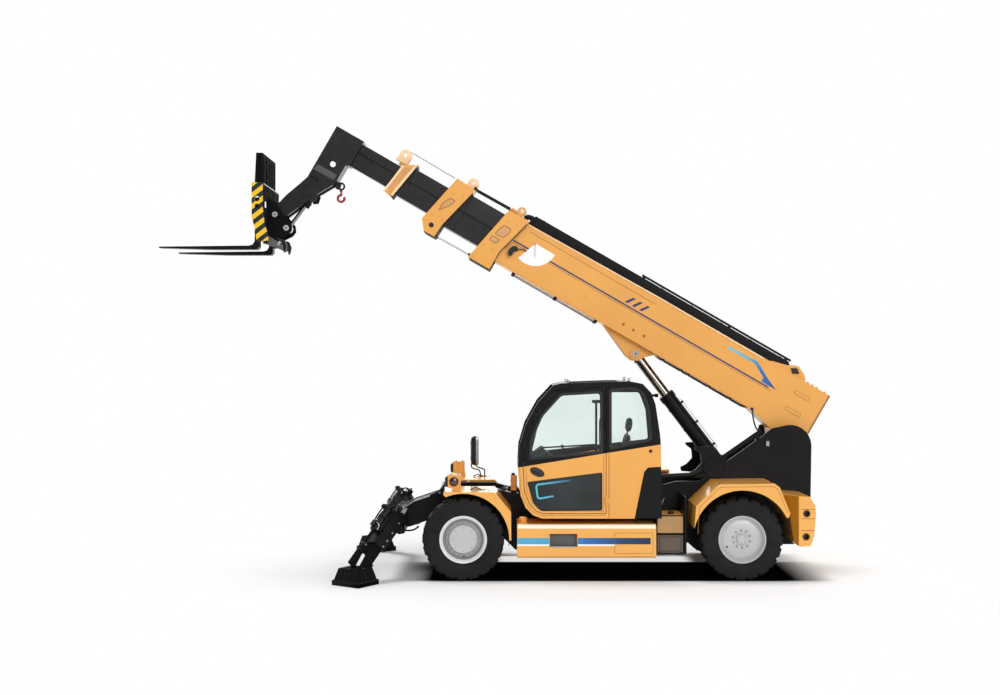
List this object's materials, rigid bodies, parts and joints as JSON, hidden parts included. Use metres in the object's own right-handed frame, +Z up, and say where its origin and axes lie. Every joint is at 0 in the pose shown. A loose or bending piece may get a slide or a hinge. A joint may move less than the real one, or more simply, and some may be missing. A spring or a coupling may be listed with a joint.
{
  "type": "telehandler",
  "caption": "Telescopic boom handler with pallet forks, side cab, four steered wheels and front stabiliser legs on the floor.",
  "frame": {"origin": "bottom centre of the bounding box, on the floor", "axes": "+X forward, +Y to the machine's left, +Z up"},
  "size_m": [9.1324, 3.4498, 6.0985],
  "materials": {
    "black_steel": "satin black paint",
    "orange_paint": "semi-gloss orange paint",
    "tyre": "black tyre rubber",
    "rim_paint": "silver grey paint",
    "glass": "clear tinted glass",
    "dark_glass": "dark tinted glass",
    "dark_plastic": "textured dark plastic",
    "seat_cloth": "black woven cloth",
    "chrome": "polished hard chrome",
    "cast_grey": "grey painted casting",
    "red_paint": "gloss red paint",
    "lamp": "gloss plastic",
    "hazard_paint": "yellow paint with black bars"
  },
  "bodies": {
    "chassis": {"main_frame": "black_steel", "outrigger_beam": "black_steel", "counterweight": "orange_paint", "fenders": "orange_paint", "side_boxes": "orange_paint", "tank_boxes": "orange_paint", "engine_block": "cast_grey", "front_axle": "black_steel", "rear_axle": "black_steel", "cab_lower": "orange_paint", "cab_upper": "black_steel", "cab_rear_panel": "black_steel", "cab_glass": "glass", "cab_interior": "dark_plastic", "seat": "seat_cloth", "headlamps": "lamp", "mirror": "dark_plastic"},
    "hood": {"engine_hood": "orange_paint"},
    "door": {"door_lower": "orange_paint", "door_upper": "black_steel", "door_glass": "glass"},
    "boom_base": {"boom_base": "orange_paint", "hose_tray": "black_steel"},
    "stage_2": {"stage_2": "black_steel", "collar_2": "orange_paint"},
    "stage_3": {"stage_3": "black_steel", "collar_3": "orange_paint"},
    "boom_head": {"boom_head": "black_steel", "hook": "red_paint"},
    "carriage": {"fork_carriage": "black_steel", "carriage_side_plates": "hazard_paint", "forks": "black_steel"},
    "lift_barrel": {"lift_barrel": "black_steel"},
    "lift_rod": {"lift_rod": "chrome"},
    "tilt_barrel": {"tilt_barrel": "black_steel"},
    "tilt_rod": {"tilt_rod": "chrome"},
    "outrigger_left": {"outrigger_leg_left": "black_steel"},
    "outrigger_right": {"outrigger_leg_right": "black_steel"},
    "knuckle_fl": {"knuckle_fl": "cast_grey"},
    "wheel_fl": {"rim_fl": "rim_paint", "tyre_fl": "tyre"},
    "knuckle_fr": {"knuckle_fr": "cast_grey"},
    "wheel_fr": {"rim_fr": "rim_paint", "tyre_fr": "tyre"},
    "knuckle_rl": {"knuckle_rl": "cast_grey"},
    "wheel_rl": {"rim_rl": "rim_paint", "tyre_rl": "tyre"},
    "knuckle_rr": {"knuckle_rr": "cast_grey"},
    "wheel_rr": {"rim_rr": "rim_paint", "tyre_rr": "tyre"}
  },
  "joints": [
    {"name": "boom_lift", "type": "hinge", "parent": "chassis", "child": "boom_base", "pos_m": [-3.9938, 0, 1.675], "axis": [0, -1, 0], "range_deg": [-30, 38]},
    {"name": "stage_2_slide", "type": "slide", "parent": "boom_base", "child": "stage_2", "axis": [0.866, 0, 0.5], "range_m": [0, 3.7]},
    {"name": "stage_3_slide", "type": "slide", "parent": "stage_2", "child": "stage_3", "axis": [0.866, 0, 0.5], "range_m": [0, 3.7]},
    {"name": "stage_4_slide", "type": "slide", "parent": "stage_3", "child": "boom_head", "axis": [0.866, 0, 0.5], "range_m": [0, 3.7]},
    {"name": "carriage_tilt", "type": "hinge", "parent": "boom_head", "child": "carriage", "pos_m": [3.08381, 0, 4.88022], "axis": [0, 1, 0], "range_deg": [-40, 75]},
    {"name": "tilt_barrel_swing", "type": "hinge", "parent": "boom_head", "child": "tilt_barrel", "pos_m": [2.27504, 0, 5.56105], "axis": [0, -1, 0], "range_deg": [-1.5, 2.5]},
    {"name": "tilt_rod_slide", "type": "slide", "parent": "tilt_barrel", "child": "tilt_rod", "axis": [0.5982, 0, -0.8014], "range_m": [-0.3, 0.17]},
    {"name": "lift_rod_swing", "type": "hinge", "parent": "boom_base", "child": "lift_rod", "pos_m": [-1.89771, 0, 2.95446], "axis": [0, -1, 0], "range_deg": [-4.5, 5.5]},
    {"name": "lift_barrel_slide", "type": "slide", "parent": "lift_rod", "child": "lift_barrel", "axis": [-0.606, 0, -0.7955], "range_m": [-0.45, 0.57]},
    {"name": "door_swing", "type": "hinge", "parent": "chassis", "child": "door", "pos_m": [-1.4118, 1.118, 1.2], "axis": [0, 0, 1], "range_deg": [0, 85]},
    {"name": "hood_lift", "type": "hinge", "parent": "chassis", "child": "hood", "pos_m": [-1.2038, -0.44, 1.312], "axis": [-1, 0, 0], "range_deg": [0, 60]},
    {"name": "outrigger_left_slide", "type": "slide", "parent": "chassis", "child": "outrigger_left", "axis": [0.499, 0.4882, -0.716], "range_m": [-0.19, 0.04]},
    {"name": "outrigger_right_slide", "type": "slide", "parent": "chassis", "child": "outrigger_right", "axis": [0.499, -0.4882, -0.716], "range_m": [-0.19, 0.04]},
    {"name": "steer_fl", "type": "hinge", "parent": "chassis", "child": "knuckle_fl", "pos_m": [0.4562, 0.92, 0.5375], "axis": [0, 0, 1], "range_deg": [-35, 35]},
    {"name": "spin_fl", "type": "hinge", "parent": "knuckle_fl", "child": "wheel_fl", "pos_m": [0.4562, 1, 0.5375], "axis": [0, 1, 0], "continuous": true},
    {"name": "steer_fr", "type": "hinge", "parent": "chassis", "child": "knuckle_fr", "pos_m": [0.4562, -0.92, 0.5375], "axis": [0, 0, 1], "range_deg": [-35, 35]},
    {"name": "spin_fr", "type": "hinge", "parent": "knuckle_fr", "child": "wheel_fr", "pos_m": [0.4562, -1, 0.5375], "axis": [0, 1, 0], "continuous": true},
    {"name": "steer_rl", "type": "hinge", "parent": "chassis", "child": "knuckle_rl", "pos_m": [-3.1788, 0.92, 0.5375], "axis": [0, 0, 1], "range_deg": [-35, 35]},
    {"name": "spin_rl", "type": "hinge", "parent": "knuckle_rl", "child": "wheel_rl", "pos_m": [-3.1788, 1, 0.5375], "axis": [0, 1, 0], "continuous": true},
    {"name": "steer_rr", "type": "hinge", "parent": "chassis", "child": "knuckle_rr", "pos_m": [-3.1788, -0.92, 0.5375], "axis": [0, 0, 1], "range_deg": [-35, 35]},
    {"name": "spin_rr", "type": "hinge", "parent": "knuckle_rr", "child": "wheel_rr", "pos_m": [-3.1788, -1, 0.5375], "axis": [0, 1, 0], "continuous": true}
  ],
  "couplings": [
    {"joint": "stage_3_slide", "follows": "stage_2_slide", "ratio": 1},
    {"joint": "stage_4_slide", "follows": "stage_2_slide", "ratio": 1},
    {"joint": "lift_rod_swing", "follows": "boom_lift", "ratio": 0.14},
    {"joint": "lift_barrel_slide", "follows": "boom_lift", "m_per_rad": 0.85},
    {"joint": "tilt_barrel_swing", "follows": "carriage_tilt", "ratio": 0.03},
    {"joint": "tilt_rod_slide", "follows": "carriage_tilt", "m_per_rad": -0.215},
    {"joint": "steer_fr", "follows": "steer_fl", "ratio": 1},
    {"joint": "steer_rr", "follows": "steer_rl", "ratio": 1}
  ]
}
